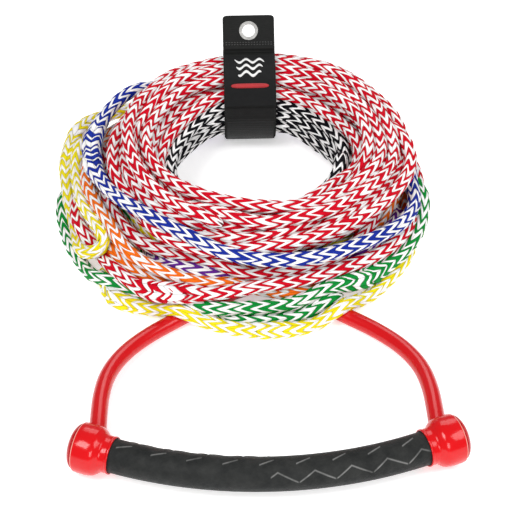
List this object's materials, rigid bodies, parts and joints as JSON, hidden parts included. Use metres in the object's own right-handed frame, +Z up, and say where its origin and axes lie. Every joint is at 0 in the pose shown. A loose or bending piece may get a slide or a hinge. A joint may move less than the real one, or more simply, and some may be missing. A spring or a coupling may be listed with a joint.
{
  "type": "water ski tow rope with handle",
  "caption": "Coiled water-ski tow line with a curved floating grip on a sleeved rope bridle, held by a hook-and-loop webbing keeper with a hanging tab.",
  "frame": {"origin": "on the resting surface, below the middle of the handle and bridle", "axes": "+Z up, +X along the handle, +Y from the handle towards the coiled line"},
  "size_m": [0.369, 0.5323, 0.1243],
  "materials": {
    "red_plastic": "glossy moulded",
    "grip_rubber": "matte with a moulded tread",
    "core_aluminium": "drawn tube",
    "float_foam": "closed-cell foam",
    "bridle_yarn": "braided poly yarn with white tracer",
    "red_yarn": "braided poly yarn with white tracer",
    "blue_yarn": "braided poly yarn with white tracer",
    "black_yarn": "braided poly yarn with white tracer",
    "violet_yarn": "braided poly yarn with white tracer",
    "orange_yarn": "braided poly yarn with white tracer",
    "yellow_yarn": "braided poly yarn with white tracer",
    "green_yarn": "braided poly yarn with white tracer",
    "webbing": "woven nylon webbing",
    "loop_pile": "fuzzy loop tape",
    "hook_tape": "hook tape",
    "woven_label": null,
    "nickel": "nickel-plated brass"
  },
  "bodies": {
    "tow_line": {"bridle_rope_left": "bridle_yarn", "bridle_rope_right": "bridle_yarn", "bridle_sleeve_left": "red_plastic", "bridle_sleeve_right": "red_plastic", "bridle_junction": "bridle_yarn", "coil_red": "red_yarn", "coil_red_lead": "red_yarn", "coil_red_short": "red_yarn", "coil_blue": "blue_yarn", "coil_black": "black_yarn", "coil_violet": "violet_yarn", "coil_orange": "orange_yarn", "coil_yellow": "yellow_yarn", "coil_green": "green_yarn"},
    "handle": {"handle_core": "core_aluminium", "float_core": "float_foam", "grip_sleeve": "grip_rubber", "end_cap_left": "red_plastic", "end_cap_right": "red_plastic", "end_plug_left": "red_plastic", "end_plug_right": "red_plastic", "bridle_knot_left": "bridle_yarn", "bridle_knot_right": "bridle_yarn", "sleeve_stub_left": "red_plastic", "sleeve_stub_right": "red_plastic"},
    "keeper": {"keeper_strap": "webbing", "keeper_loop_pile": "loop_pile", "keeper_seam": "webbing"},
    "keeper_flap": {"keeper_flap": "webbing", "keeper_hook_patch": "hook_tape", "keeper_label": "woven_label"},
    "keeper_tab": {"keeper_tab": "webbing", "grommet": "nickel", "grommet_washer": "nickel"}
  },
  "joints": [
    {"name": "handle_swing", "type": "hinge", "parent": "tow_line", "child": "handle", "pos_m": [0, -0.057, 0.021], "axis": [-1, 0, 0], "range_deg": [0, 80]},
    {"name": "keeper_turn", "type": "hinge", "parent": "tow_line", "child": "keeper", "pos_m": [0, 0.23625, 0.046], "axis": [0, 0, 1], "range_deg": [-12, 12]},
    {"name": "flap_peel", "type": "hinge", "parent": "keeper", "child": "keeper_flap", "pos_m": [0, 0.35364, 0.09534], "axis": [-1, 0, 0], "range_deg": [0, 70]},
    {"name": "tab_fold", "type": "hinge", "parent": "keeper", "child": "keeper_tab", "pos_m": [0, 0.35903, 0.09928], "axis": [-1, 0, 0], "range_deg": [-40, 45]}
  ]
}
